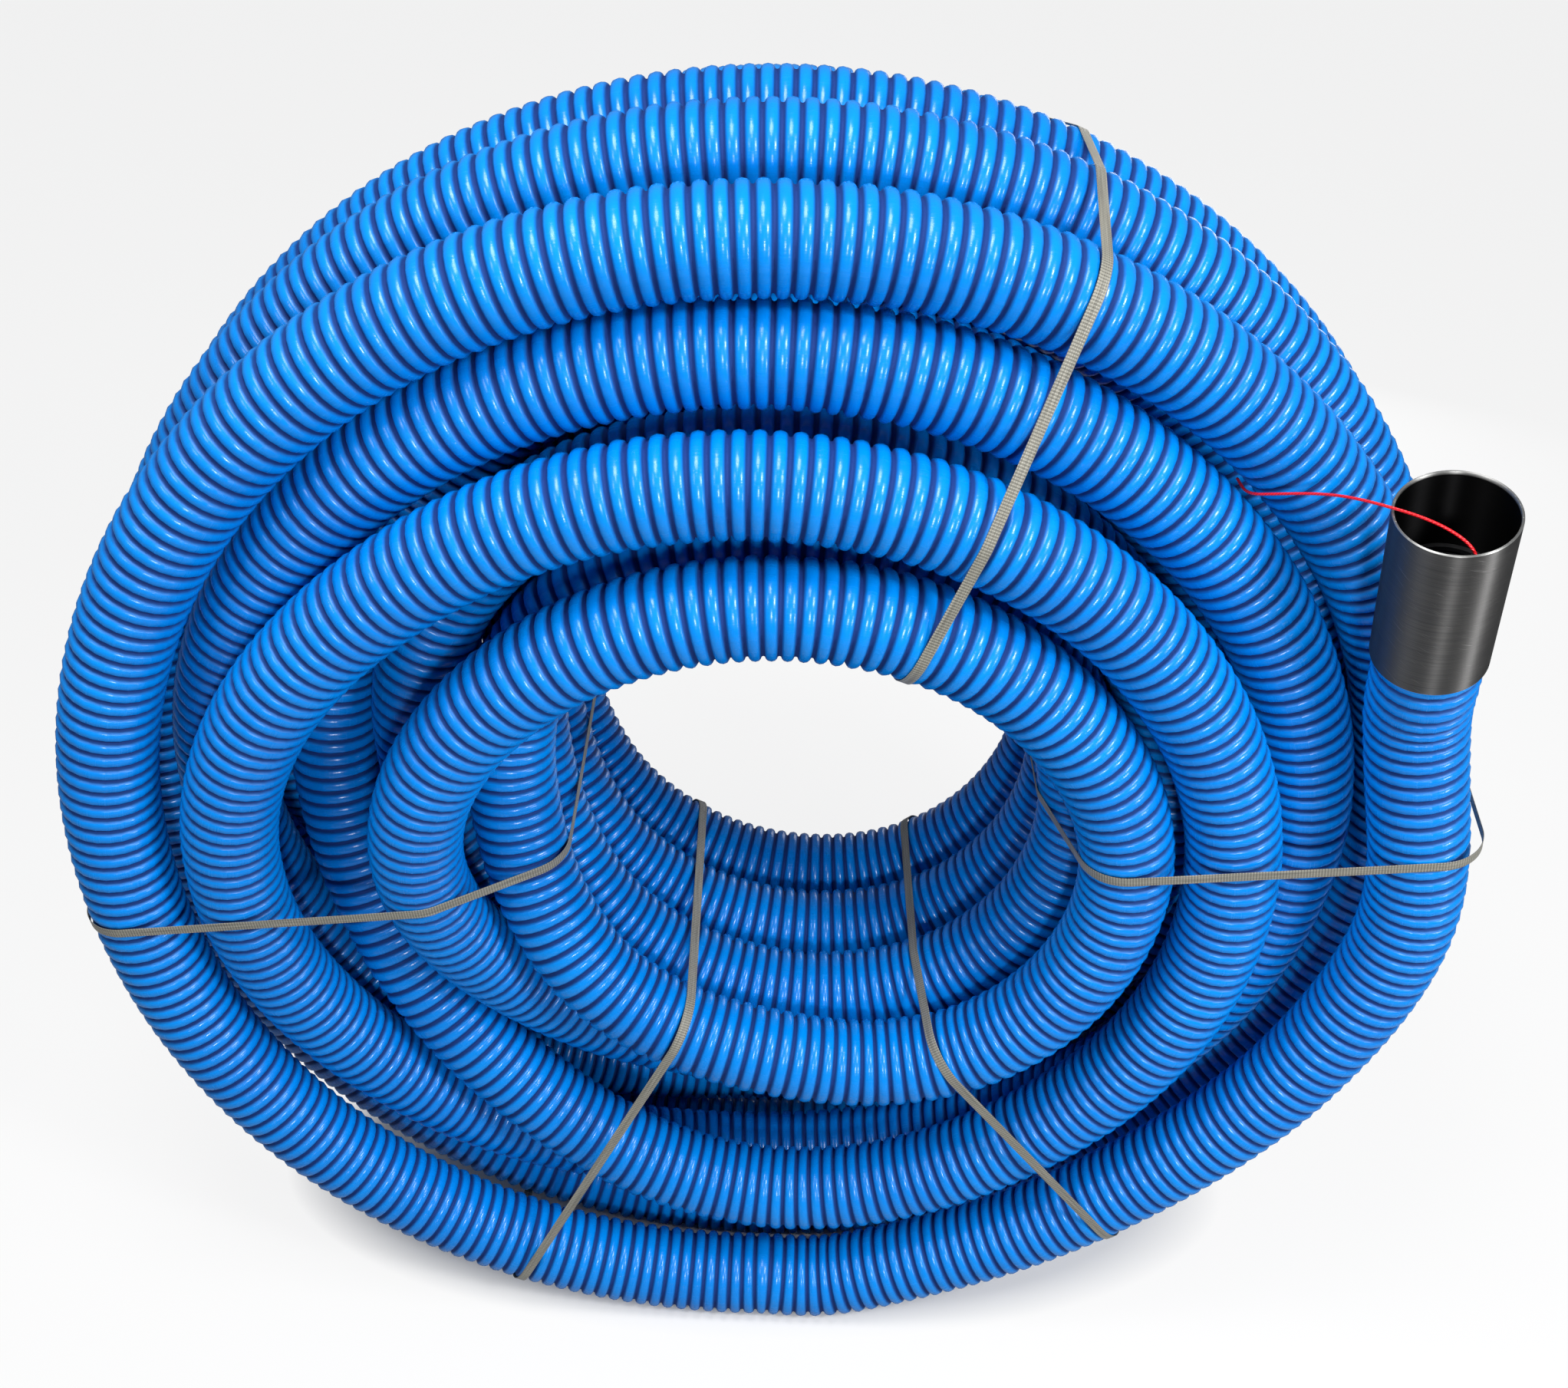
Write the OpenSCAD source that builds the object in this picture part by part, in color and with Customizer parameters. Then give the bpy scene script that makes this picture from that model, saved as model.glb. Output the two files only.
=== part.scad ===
// Strapped coil of ribbed blue duct hose, standing on its rim, with a push-on coupling sleeve
// and a red draw cord. Millimetres, +Z up, coil axis along Y, front towards -Y.
// The origin is on the floor, under the middle of the whole.

/* [Hose] */
// Outside diameter over the ribs
hose_od = 110; // [106:0.5:110]
// Distance from one rib to the next
rib_pitch = 18.5; // [17:0.5:24]
// Depth of the grooves between the ribs
rib_depth = 6; // [4:0.5:8]
// Wall between the bore and the bottom of the grooves
hose_wall = 2; // [1.8:0.1:4]
// Length of the ribbed tail at the inner end
tail_len = 330; // [250:10:380]

/* [Coil] */
// Height of the coil's axis over the floor
axis_z = 792; // [790:1:796]

/* [Coupling sleeve] */
// Wall of the sleeve
sleeve_wall = 2.6; // [2:0.1:4]
// Play all round between the hose and the sleeve's bore
sleeve_play = 0.4; // [0.3:0.1:1]
// Length of the sleeve
sleeve_len = 196; // [170:1:230]
// Radius of the rounding on the sleeve's rims
rim_r = 0.8; // [0.4:0.1:1]

/* [Stop ring] */
// Width of the stop ring in the middle of the sleeve
stop_w = 5; // [3:0.5:8]
// Height that the stop ring stands out of the sleeve's bore
stop_h = 5; // [3:0.5:7]
// Depth of the ring's seat in the sleeve's wall
stop_seat = 1; // [0.6:0.1:1.2]
// Play of the stop ring in its seat
stop_play = 0.2; // [0.1:0.05:0.4]
// Gap between the hose's end and the stop ring
stop_gap = 1; // [0.5:0.5:4]

/* [Seal ring] */
// Number of whole ribs between the hose's end and the seal ring
seal_ribs = 1; // [1:1:2]
// Width of the seal ring
seal_w = 4; // [3:0.5:5]
// Play between the seal ring and the sleeve's bore
seal_play = 0.2; // [0.1:0.1:0.5]

/* [Straps] */
// Width of each strap
strap_w = 12; // [9:0.5:16]
// Thickness of each strap
strap_t = 0.8; // [0.6:0.1:1.4]
// Gap between a strap and the hose under it
strap_gap = 0.4; // [0.2:0.1:1]
// Length of a strap seal along the strap
clip_len = 26; // [20:1:34]
// Thickness of the metal of a strap seal
clip_wall = 1.2; // [0.8:0.1:2]
// Play between a strap seal and its strap
clip_play = 0.2; // [0.1:0.05:0.4]

/* [Draw cord] */
// Diameter of the draw cord
cord_d = 3; // [2:0.2:4]

/* [Hidden] */

hose_r = hose_od / 2;
groove_r = hose_r - rib_depth;
bore_r = groove_r - hose_wall;
sleeve_in = hose_r + sleeve_play;
sleeve_out = sleeve_in + sleeve_wall;
insert_len = (sleeve_len - stop_w) / 2 - stop_play - stop_gap;

// ---- Winding -------------------------------------------------------------------------------
// The hose is wound from the inside out, seen from the front against the clock. Each turn starts
// at the bottom, and the hose starts half way round the first one. A row gives the radius of one
// kind of turn at eight stations, an eighth of a turn apart: bottom, lower right, right, upper
// right, top, upper left, left, lower left.
layer_1 = [308, 352, 368, 368, 370, 371, 316, 303];
layer_2 = [438, 464, 478, 478, 480, 482, 434, 419];
layer_3 = [537, 557, 571, 571, 573, 576, 548, 537];
layer_4 = [638, 652, 664, 664, 665, 671, 662, 650];
layer_5 = [748, 756, 764, 764, 766, 774, 780, 774];
front_1 = [300, 378, 402, 386, 376, 392, 424, 424];
front_3 = [580, 560, 528, 508, 514, 556, 640, 660];
front_4 = [635, 630, 622, 614, 624, 648, 672, 656];
back_5 = [728, 742, 740, 736, 732, 740, 760, 778];
front_5 = [748, 742, 738, 732, 738, 758, 774, 778];
turns = [layer_1, layer_1, layer_1, layer_1, front_1, layer_2, layer_2, layer_3, layer_3,
    front_3, front_4, layer_4, back_5, layer_5, layer_5, front_5];
first_u = 0.5;
last_quarter = [748, 712, 740];

// Depth behind the front face of each turn, and of the free end that follows the last one.
rows = [475, 364, 246, 128, 10, 150, 282, 400, 217, 15, 118, 286, 473, 353, 238, 124, -8];
// Share of the step to the next row that a turn has made at each station.
row_step = [0, 0, 0, 0, 0, 0, 0.17, 0.69];
first_row_step = [0, 0, 0, 0, 0, 0, 0.12, 0.63];
// The two outermost turns of the front drift forward along the whole turn instead.
front_4_y = [118, 104, 88, 84, 82, 92, 145, 210];
front_5_y = [124, 124, 122, 106, 84, 66, 42, 12];
last_quarter_y = [-8, -6, -6];
turn_count = len(turns);

function row_y(k, j) =
    turns[k] == front_4 ? front_4_y[j] :
    turns[k] == front_5 ? front_5_y[j] :
    rows[k] + (rows[k + 1] - rows[k]) * (k == 0 ? first_row_step : row_step)[j];
wind_r = concat([for (k = [0:turn_count - 1]) for (j = [0:7]) turns[k][j]], last_quarter);
wind_y = concat([for (k = [0:turn_count - 1]) for (j = [0:7]) row_y(k, j)], last_quarter_y);

// Catmull-Rom curve through a list, at s steps from its start.
function kept(i, n) = min(max(i, 0), n - 1);
function curve_at(list, s) =
    let (n = len(list), i = min(floor(s), n - 2), f = s - i,
        a = list[kept(i - 1, n)], b = list[i], c = list[i + 1], d = list[kept(i + 2, n)])
    0.5 * (2 * b + (c - a) * f + (2 * a - 5 * b + 4 * c - d) * f * f
        + (3 * b - a - 3 * c + d) * f * f * f);
// Centre of the hose u turns after the start of the first turn.
function wound(u) =
    let (r = curve_at(wind_r, u * 8), a = 180 - 360 * u)
    [r * sin(a), curve_at(wind_y, u * 8), axis_z + r * cos(a)];
function unit(v) = v / norm(v);
function heading(u) = unit(wound(u + 0.001) - wound(u - 0.001));

// ---- Free end ------------------------------------------------------------------------------
// Foot of the sleeve over the coil's axis, and how far the hose's end leans to the front and in.
sleeve_foot = [651, -22, axis_z + 371];
lean_front = 13;
lean_in = 11.5;
end_dir = [-cos(lean_front) * sin(lean_in), -sin(lean_front), cos(lean_front) * cos(lean_in)];
loop_end = wound(turn_count);
loop_dir = heading(turn_count);
// Route of the free end: straight at first, up round the coil, and straight into the sleeve.
end_route = concat([loop_end, loop_end + loop_dir * hose_od],
    [for (i = [2:8]) wound(turn_count + i / 32)],
    [sleeve_foot - 240 * end_dir + [8, -38, 0], sleeve_foot - 112 * end_dir,
        sleeve_foot - 56 * end_dir, sleeve_foot, sleeve_foot + insert_len * end_dir]);

// Everything is worked out from the coil's own axis and its first row, and then moved to the
// middle of the whole.
to_middle = [9.6, -204.3, 0];
module placed() {
    translate(to_middle) children();
}
module on_end() {
    translate(sleeve_foot) rotate([lean_front, -lean_in, 0]) children();
}

// ---- Swept tubes ---------------------------------------------------------------------------
function along(p, i) = unit(p[min(i + 1, len(p) - 1)] - p[max(i - 1, 0)]);
// Directions along the points p, with a given one at the start.
function headings(p, start) = concat([start], [for (i = [1:len(p) - 1]) along(p, i)]);
// Ring of n points round p, square to t, turned so that a point lies across from side.
function ring(p, t, r, n, side) =
    let (x = unit(cross(t, side)), y = cross(x, t))
    [for (k = [0:n - 1]) p + r * (x * cos(360 * k / n) - y * sin(360 * k / n))];
function rings(p, t, r, n, side) =
    [for (i = [0:len(p) - 1]) each ring(p[i], t[i], is_list(r) ? r[i] : r, n, side)];
function sides(m, n, first, flip) =
    [for (i = [0:m - 2]) for (k = [0:n - 1])
        let (a = first + i * n + k, b = first + i * n + (k + 1) % n, c = b + n, d = a + n)
        each (flip ? [[a, c, b], [a, d, c]] : [[a, b, c], [a, c, d]])];
function fan(n, first, flip) =
    [for (k = [1:n - 2])
        flip ? [first, first + k, first + k + 1] : [first, first + k + 1, first + k]];
// Solid tube of radius r round the points p, with its rings square to the directions t.
module solid_tube(p, t, r, n, side) {
    m = len(p);
    polyhedron(rings(p, t, r, n, side),
        concat(sides(m, n, 0, true), fan(n, 0, true), fan(n, (m - 1) * n, false)),
        convexity = 10);
}
// Ribbed tube of radius r[i] round the points p, with a bore whose rings are on the points q. It
// starts square to the direction start.
module ribbed_tube(p, r, q, n, side, start) {
    m = len(p);
    o = m * n;
    last = (m - 1) * n;
    deep = o + (len(q) - 1) * n;
    rims = [for (k = [0:n - 1]) let (l = (k + 1) % n)
        each [[k, l, o + l], [k, o + l, o + k],
            [last + k, deep + l, last + l], [last + k, deep + k, deep + l]]];
    polyhedron(concat(rings(p, headings(p, start), r, n, side),
        rings(q, headings(q, start), bore_r, n, side)),
        concat(sides(m, n, 0, true), sides(len(q), n, o, false), rims), convexity = 10);
}

// Points of a route at given distances from its start.
function run_sums(p) =
    [for (i = 0, sum = 0; i < len(p);
        sum = sum + (i + 1 < len(p) ? norm(p[i + 1] - p[i]) : 0), i = i + 1) sum];
function on_run(p, sums, d) =
    let (i = max([for (k = [0:len(p) - 2]) if (sums[k] <= d + 0.0001) k]))
    p[i] + (p[i + 1] - p[i]) * (d - sums[i]) / (sums[i + 1] - sums[i]);
// Distances of the ribs' crests and grooves, counted back from the end of a run.
function rib_steps(len) =
    let (n = 2 * floor((len - rib_pitch / 2) / rib_pitch))
    concat([0], [for (i = [0:n]) len - (n - i) * rib_pitch / 2]);
function rib_radii(steps) =
    [for (i = [0:len(steps) - 1]) i == 0 || (len(steps) - 1 - i) % 2 == 0 ? hose_r : groove_r];
// Every sixth of them, and both ends, for the bore.
function bore_steps(steps) =
    let (n = len(steps))
    [for (i = [0:n - 1]) if (i == 0 || i == n - 1 || (i % 6 == 0 && i < n - 3)) steps[i]];

tail_r = layer_1[4];
end_fine = [for (s = [0:1 / 24:len(end_route) - 1]) curve_at(end_route, s)];
end_sums = run_sums(end_fine);
end_steps = rib_steps(end_sums[len(end_sums) - 1]);
tail_u = first_u + tail_len / (2 * PI * tail_r);
tail_fine = [for (i = [60:-1:0]) wound(first_u + (tail_u - first_u) * i / 60)];
tail_sums = run_sums(tail_fine);
tail_steps = rib_steps(tail_sums[60]);

// ---- Straps --------------------------------------------------------------------------------
// Angle of each strap round the coil, from the top towards the right.
strap_angles = [21, 81, 141, 205, 263];
strap_upper_i = 0;
strap_right_i = 1;
strap_lower_right_i = 2;
strap_lower_left_i = 3;
strap_left_i = 4;
// Radius and depth of the free end where the second strap crosses it.
free_end_cross = [735, -6];
hull_steps = 72;
handover_w = 0.02;
least_edge = 0.05;

// Strand of the hose in the plane of a strap: centre, lean in that plane, and share across it.
function strand(u, a) =
    let (p = wound(u) - [0, 0, axis_z], t = heading(u), out = [sin(a), 0, cos(a)],
        across = [-cos(a), 0, sin(a)])
    [[p * out, p[1]], [t * out, t[1]], t * across];
function strands(a) =
    let (f = ((180 - a) % 360 + 360) % 360 / 360)
    concat([for (k = [0:turn_count - 1]) if (k + f >= first_u) strand(k + f, a)],
        f < 0.25 ? [strand(turn_count + f, a)] : f < 0.3 ? [[free_end_cross, [0, 0], 1]] : []);
// Outermost point of a strand in the direction n, with a clearance.
function reach(s, n, more) =
    let (m = s[1], c = s[2], e = m * n)
    s[0] + hose_r * (n + m * e / (c * c)) / sqrt(1 + e * e / (c * c))
        + m * sign(e) * strap_w / 2 / c + n * more;
function facing(w) = [cos(w), sin(w)];
// Number of the strand that reaches farthest towards the angle w.
function farthest(all, w) =
    let (d = [for (s = all) reach(s, facing(w), 0) * facing(w)]) search(max(d), d)[0];
// Angles just before and after each place where one strand takes over from another.
function handovers(all, w0, w1) =
    farthest(all, w0) == farthest(all, w1) ? [] :
    w1 - w0 < handover_w ? [w0, w1] :
    let (w = (w0 + w1) / 2) concat(handovers(all, w0, w), handovers(all, w, w1));
// Taut line round all strands of a strap.
function taut(a, more) =
    let (all = strands(a), step = 360 / hull_steps,
        angles = [for (k = [0:hull_steps - 1])
            each concat([k * step], handovers(all, k * step, (k + 1) * step))],
        line = [for (w = angles) reach(all[farthest(all, w)], facing(w), more)],
        n = len(line))
    [for (i = [0:n - 1]) if (norm(line[i] - line[(i + n - 1) % n]) > least_edge) line[i]];
// Start and end of the longest straight stretch of that line on the back of the coil.
function back_stretch(line) =
    let (n = len(line), e = [for (i = [0:n - 1]) let (d = line[i] - line[(i + 1) % n])
        d[0] > norm(d) / 2 ? norm(d) : 0],
        i = search(max(e), e)[0])
    [line[i], line[(i + 1) % n]];

module in_strap_plane(i) {
    translate([0, 0, axis_z]) rotate([0, strap_angles[i] - 90, 0]) children();
}
module strap(i) {
    inner = taut(strap_angles[i], strap_gap);
    outer = taut(strap_angles[i], strap_gap + strap_t);
    color("dimgray") placed() in_strap_plane(i) linear_extrude(strap_w, center = true, convexity = 4)
        polygon(concat(outer, inner), [[for (k = [0:len(outer) - 1]) k],
            [for (k = [0:len(inner) - 1]) len(outer) + k]]);
}
module clip(i) {
    s = back_stretch(taut(strap_angles[i], strap_gap + strap_t / 2));
    mid = (s[0] + s[1]) / 2;
    slot_t = strap_t + 2 * clip_play;
    slot_w = strap_w + 2 * clip_play;
    color("silver") placed() in_strap_plane(i) translate([mid[0], mid[1], 0])
        rotate([0, 0, atan2(s[1][1] - s[0][1], s[1][0] - s[0][0])]) difference() {
            cube([clip_len, slot_t + 2 * clip_wall, slot_w + 2 * clip_wall], center = true);
            cube([clip_len + 2, slot_t, slot_w], center = true);
        }
}

// ---- Plain coil ------------------------------------------------------------------------------
// The ribs of the wound part are left out; the plain tube lies a little inside their tops.
plain_r = hose_r - 1;
loop_rings = 24;
ring_offset = 8;
function to_strap(a) =
    let (b = (a % 360 + 360) % 360,
        s = [for (t = strap_angles) if (abs(t - b) < 180 / loop_rings) t - b])
    len(s) > 0 ? a + s[0] : a;
coil_turns = [for (i = [0:turn_count * loop_rings])
    (180 - to_strap(180 - ring_offset - 360 * i / loop_rings)) / 360];
tail_stop = wound(tail_u);
tail_dir = heading(tail_u);
inner_turns = [for (u = coil_turns) if (u > tail_u + 0.08 && u < turn_count - 0.04) u];
coil_route = concat([tail_stop, tail_stop + tail_dir * hose_od], [for (u = inner_turns) wound(u)],
    [loop_end - loop_dir * hose_od, loop_end]);
// Its rings lie in planes through the coil's axis, as the straps do.
coil_headings = concat([tail_dir, tail_dir],
    [for (u = inner_turns) [cos(360 * u), 0, sin(360 * u)]], [loop_dir, loop_dir]);

// Least gap of the coil to itself and its length, on points along its centre line.
fine_steps = 90;
fine_route = [for (i = [fine_steps * first_u:fine_steps * turn_count]) wound(i / fine_steps)];
function least_gap(p, skip) =
    min([for (i = [0:len(p) - 1 - skip])
        min([for (j = [i + skip:len(p) - 1]) norm(p[i] - p[j])])]) - hose_od;
echo(least_gap_of_coil = least_gap(fine_route, fine_steps / 3));
echo(length_of_coil = run_sums(fine_route)[len(fine_route) - 1]);

// ---- Draw cord -------------------------------------------------------------------------------
// Route inside the sleeve from its foot, and then from the coil's axis, over a strand and down
// between two of them.
cord_in_sleeve = [[6, -46, 104], [8, -47, 140], [9, -48, 170], [7, -45, 186], [-2, -37, 196],
    [-16, -22, 201], [-38, -1, 203], [-58, 11, 201.5]];
cord_on_coil = [[537, -27, 548], [519, 4, 535], [499, 27, 521], [481, 46, 509], [468, 62, 499],
    [462, 84, 491], [460, 112, 489]];
end_x = [cos(lean_in), 0, sin(lean_in)];
end_y = cross(end_dir, end_x);
cord_route = concat([for (p = cord_in_sleeve)
    sleeve_foot + p[0] * end_x + p[1] * end_y + p[2] * end_dir],
    [for (p = cord_on_coil) p + [0, 0, axis_z]]);
cord_fine = [for (s = [0:1 / 3:len(cord_route) - 1]) curve_at(cord_route, s)];

// ---- Pieces ----------------------------------------------------------------------------------
module under_floor() {
    translate([-1500, -500, -200]) cube([3000, 1500, 200]);
}
module hose_coil() {
    color("dodgerblue") placed() difference() {
        solid_tube(coil_route, coil_headings, plain_r, 6, [0, 1, 0]);
        under_floor();
    }
}
module hose_end() {
    color("dodgerblue") placed() difference() {
        ribbed_tube([for (d = end_steps) on_run(end_fine, end_sums, d)], rib_radii(end_steps),
            [for (d = bore_steps(end_steps)) on_run(end_fine, end_sums, d)], 8, [0, 1, 0],
            loop_dir);
        under_floor();
    }
}
module hose_tail() {
    color("dodgerblue") placed()
        ribbed_tube([for (d = tail_steps) on_run(tail_fine, tail_sums, d)], rib_radii(tail_steps),
            [for (d = bore_steps(tail_steps)) on_run(tail_fine, tail_sums, d)], 8, [0, 1, 0],
            -tail_dir);
}
module seal_ring() {
    slope = rib_depth / (rib_pitch / 2);
    inner = groove_r + slope * seal_w / 2 + seal_play;
    color("black") placed() on_end()
        translate([0, 0, insert_len - (seal_ribs + 0.5) * rib_pitch - seal_w / 2])
            rotate_extrude($fn = 64) translate([inner, 0])
                square([sleeve_in - seal_play - inner, seal_w]);
}
module stop_ring() {
    color("black") placed() on_end() translate([0, 0, (sleeve_len - stop_w) / 2])
        rotate_extrude($fn = 64) translate([sleeve_in - stop_h, 0])
            square([stop_h + stop_seat - stop_play, stop_w]);
}
module coupling_sleeve() {
    a = sleeve_in;
    b = sleeve_out;
    c = sleeve_in + stop_seat;
    z1 = (sleeve_len - stop_w) / 2 - stop_play;
    z2 = (sleeve_len + stop_w) / 2 + stop_play;
    foot_arc = [for (t = [0:30:90]) [b - rim_r + rim_r * sin(t), rim_r - rim_r * cos(t)]];
    top_arc = [for (t = [0:30:90])
        [b - rim_r + rim_r * cos(t), sleeve_len - rim_r + rim_r * sin(t)]];
    color("#2b2b2d") placed() on_end() rotate_extrude($fn = 64)
        polygon(concat([[a, 0]], foot_arc, top_arc,
            [[a, sleeve_len], [a, z2], [c, z2], [c, z1], [a, z1]]));
}
module draw_cord() {
    color("red") placed() solid_tube(cord_fine, headings(cord_fine, along(cord_fine, 0)),
        cord_d / 2, 6, [1, 0.9, 0.6]);
}

hose_coil();
hose_end();
hose_tail();
seal_ring();
stop_ring();
coupling_sleeve();
draw_cord();
strap(strap_upper_i);  // strap_upper
strap(strap_right_i);  // strap_right
strap(strap_lower_right_i);  // strap_lower_right
strap(strap_lower_left_i);  // strap_lower_left
strap(strap_left_i);  // strap_left
clip(strap_upper_i);  // clip_upper
clip(strap_right_i);  // clip_right
clip(strap_lower_right_i);  // clip_lower_right
clip(strap_lower_left_i);  // clip_lower_left
clip(strap_left_i);  // clip_left
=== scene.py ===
import bpy
import bmesh
import math
import numpy as np
from mathutils import Matrix, Vector


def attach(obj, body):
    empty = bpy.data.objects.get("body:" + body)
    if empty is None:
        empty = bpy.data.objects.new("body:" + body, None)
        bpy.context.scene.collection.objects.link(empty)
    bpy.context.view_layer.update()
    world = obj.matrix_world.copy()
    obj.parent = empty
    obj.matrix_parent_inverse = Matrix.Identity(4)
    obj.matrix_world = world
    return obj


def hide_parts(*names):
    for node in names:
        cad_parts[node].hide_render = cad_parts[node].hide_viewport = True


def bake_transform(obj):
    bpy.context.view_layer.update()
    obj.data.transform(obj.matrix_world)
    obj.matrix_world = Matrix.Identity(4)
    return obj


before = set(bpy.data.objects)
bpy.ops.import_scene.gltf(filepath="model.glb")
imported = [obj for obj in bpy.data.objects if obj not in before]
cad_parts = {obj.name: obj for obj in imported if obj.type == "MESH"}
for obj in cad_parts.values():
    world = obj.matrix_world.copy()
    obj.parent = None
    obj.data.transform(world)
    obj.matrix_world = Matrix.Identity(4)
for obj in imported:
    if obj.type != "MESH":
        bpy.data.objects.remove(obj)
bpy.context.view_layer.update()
scene = bpy.context.scene
MM = 0.001
FULL_TURN = 2 * math.pi
SHARP = math.radians(40)

# ---- Route of the hose, as in the part's source --------------------------------------------
HOSE_R = 0.055
GROOVE = 0.006
PITCH = 0.0185
AXIS_Z = 0.792
MIDDLE = np.array([0.0096, -0.2043, 0.0])

# Radius of each turn in mm, at eight places round it, from the foot on.
KNOTS = 8
LAYER_1 = [308, 352, 368, 368, 370, 371, 316, 303]
LAYER_2 = [438, 464, 478, 478, 480, 482, 434, 419]
LAYER_3 = [537, 557, 571, 571, 573, 576, 548, 537]
LAYER_4 = [638, 652, 664, 664, 665, 671, 662, 650]
LAYER_5 = [748, 756, 764, 764, 766, 774, 780, 774]
FRONT_1 = [300, 378, 402, 386, 376, 392, 424, 424]
FRONT_3 = [580, 560, 528, 508, 514, 556, 640, 660]
FRONT_4 = [635, 630, 622, 614, 624, 648, 672, 656]
BACK_5 = [728, 742, 740, 736, 732, 740, 760, 778]
FRONT_5 = [748, 742, 738, 732, 738, 758, 774, 778]
TURNS = [LAYER_1, LAYER_1, LAYER_1, LAYER_1, FRONT_1, LAYER_2, LAYER_2, LAYER_3, LAYER_3,
         FRONT_3, FRONT_4, LAYER_4, BACK_5, LAYER_5, LAYER_5, FRONT_5]
# The hose begins half a turn into the first one; a quarter turn past the last it is still beside
# the coil.
FIRST_U = 0.5
TURN_COUNT = len(TURNS)
LAST_U = TURN_COUNT + 0.25
# Depth of each turn in mm, and the share of the way to the next one at the eight places.
ROWS = [475, 364, 246, 128, 10, 150, 282, 400, 217, 15, 118, 286, 473, 353, 238, 124, -8]
ROW_STEP = [0, 0, 0, 0, 0, 0, 0.17, 0.69]
FIRST_ROW_STEP = [0, 0, 0, 0, 0, 0, 0.12, 0.63]
FRONT_4_Y = [118, 104, 88, 84, 82, 92, 145, 210]
FRONT_5_Y = [124, 124, 122, 106, 84, 66, 42, 12]
# Radius and depth where the last turn goes on into the free end.
OUT_R = [748, 712, 740]
OUT_Y = [-8, -6, -6]


def unit(v):
    v = np.asarray(v, float)
    return v / np.linalg.norm(v, axis=-1, keepdims=True)


def curve_at(c, s):
    """Catmull-Rom curve through the rows of c, at s steps from its start."""
    c = np.asarray(c, float)
    s = np.atleast_1d(np.asarray(s, float))
    n = len(c)
    i = np.clip(np.floor(s).astype(int), 0, n - 2)
    f = (s - i).reshape(-1, *[1] * (c.ndim - 1))
    a, b, d, e = (c[np.clip(i + j, 0, n - 1)] for j in (-1, 0, 1, 2))
    return 0.5 * (2 * b + (d - a) * f + (2 * a - 5 * b + 4 * d - e) * f ** 2
                  + (3 * b - a - 3 * d + e) * f ** 3)


def curve_through(knots, steps):
    """The whole curve through the knots, with steps points from each knot to the next."""
    return curve_at(np.array(knots), np.arange(0, len(knots) - 1 + 1e-9, 1 / steps))


def winding():
    """Radius and depth of the hose's centre at each knot of the winding."""
    r, y = [], []
    for k, turn in enumerate(TURNS):
        r += turn
        if turn is FRONT_4:
            y += FRONT_4_Y
        elif turn is FRONT_5:
            y += FRONT_5_Y
        else:
            step = ROW_STEP if k else FIRST_ROW_STEP
            y += [ROWS[k] + (ROWS[k + 1] - ROWS[k]) * s for s in step]
    return np.array([r + OUT_R, y + OUT_Y], float).T * MM


WIND = winding()


def wound(u):
    """Centre of the hose u turns after the start of the first turn."""
    u = np.atleast_1d(np.asarray(u, float))
    ry = curve_at(WIND, u * KNOTS)
    a = np.radians(180 - 360 * u)
    return np.stack([ry[:, 0] * np.sin(a), ry[:, 1], AXIS_Z + ry[:, 0] * np.cos(a)], 1) + MIDDLE


# The free end: its axis leans to the front and towards the coil, and FOOT is its sleeve's foot.
LEAN_FRONT, LEAN_IN = math.radians(13), math.radians(11.5)
END_Z = np.array([-math.cos(LEAN_FRONT) * math.sin(LEAN_IN), -math.sin(LEAN_FRONT),
                  math.cos(LEAN_FRONT) * math.cos(LEAN_IN)])
END_X = np.array([math.cos(LEAN_IN), 0, math.sin(LEAN_IN)])
END_Y = np.cross(END_Z, END_X)
FOOT = np.array([0.651, -0.022, AXIS_Z + 0.371]) + MIDDLE
# How far the hose goes into the sleeve.
INSERT = 0.0943
# From the foot of the coil: a first step straight on, then places in turns on its right side.
STEP_ON = 0.11
CLIMB = np.arange(2, 9) / 32
# Places before the sleeve's foot along its axis; at the first the hose also swings out.
BEFORE_FOOT = (0.240, 0.112, 0.056)
SWING = np.array([0.008, -0.038, 0])

TURN_STEPS = 360
END_STEPS = 24
# Points over which the easing of a bend sets in, and the easing of the free end.
EASE_IN = 24
END_EASE = {"window": 16, "first": 130, "last": 28}
# Step to either side, in turns or metres, for the direction of a line.
NEAR = 0.001


def in_sleeve(p):
    """A point in mm in the sleeve's own frame, in metres in the scene's."""
    return FOOT + p[0] * MM * END_X + p[1] * MM * END_Y + p[2] * MM * END_Z


def arc_points(p):
    """Distance of each of the points p from the first, along the line through them."""
    return np.concatenate([[0], np.cumsum(np.linalg.norm(np.diff(p, axis=0), axis=1))])


def eased(p, window, first, last):
    """The points p with their bends eased between the points first and len(p) - last."""
    q = np.pad(p, ((window, window), (0, 0)), mode="edge")
    mean = np.stack([q[i:i + len(p)] for i in range(2 * window + 1)]).mean(0)
    i = np.arange(len(p))
    share = np.clip(np.minimum(i - first, len(p) - last - i) / EASE_IN, 0, 1)[:, None]
    return p + (mean - p) * share * share * (3 - 2 * share)


def wound_direction(u):
    return unit(wound(u + NEAR) - wound(u - NEAR))


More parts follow.
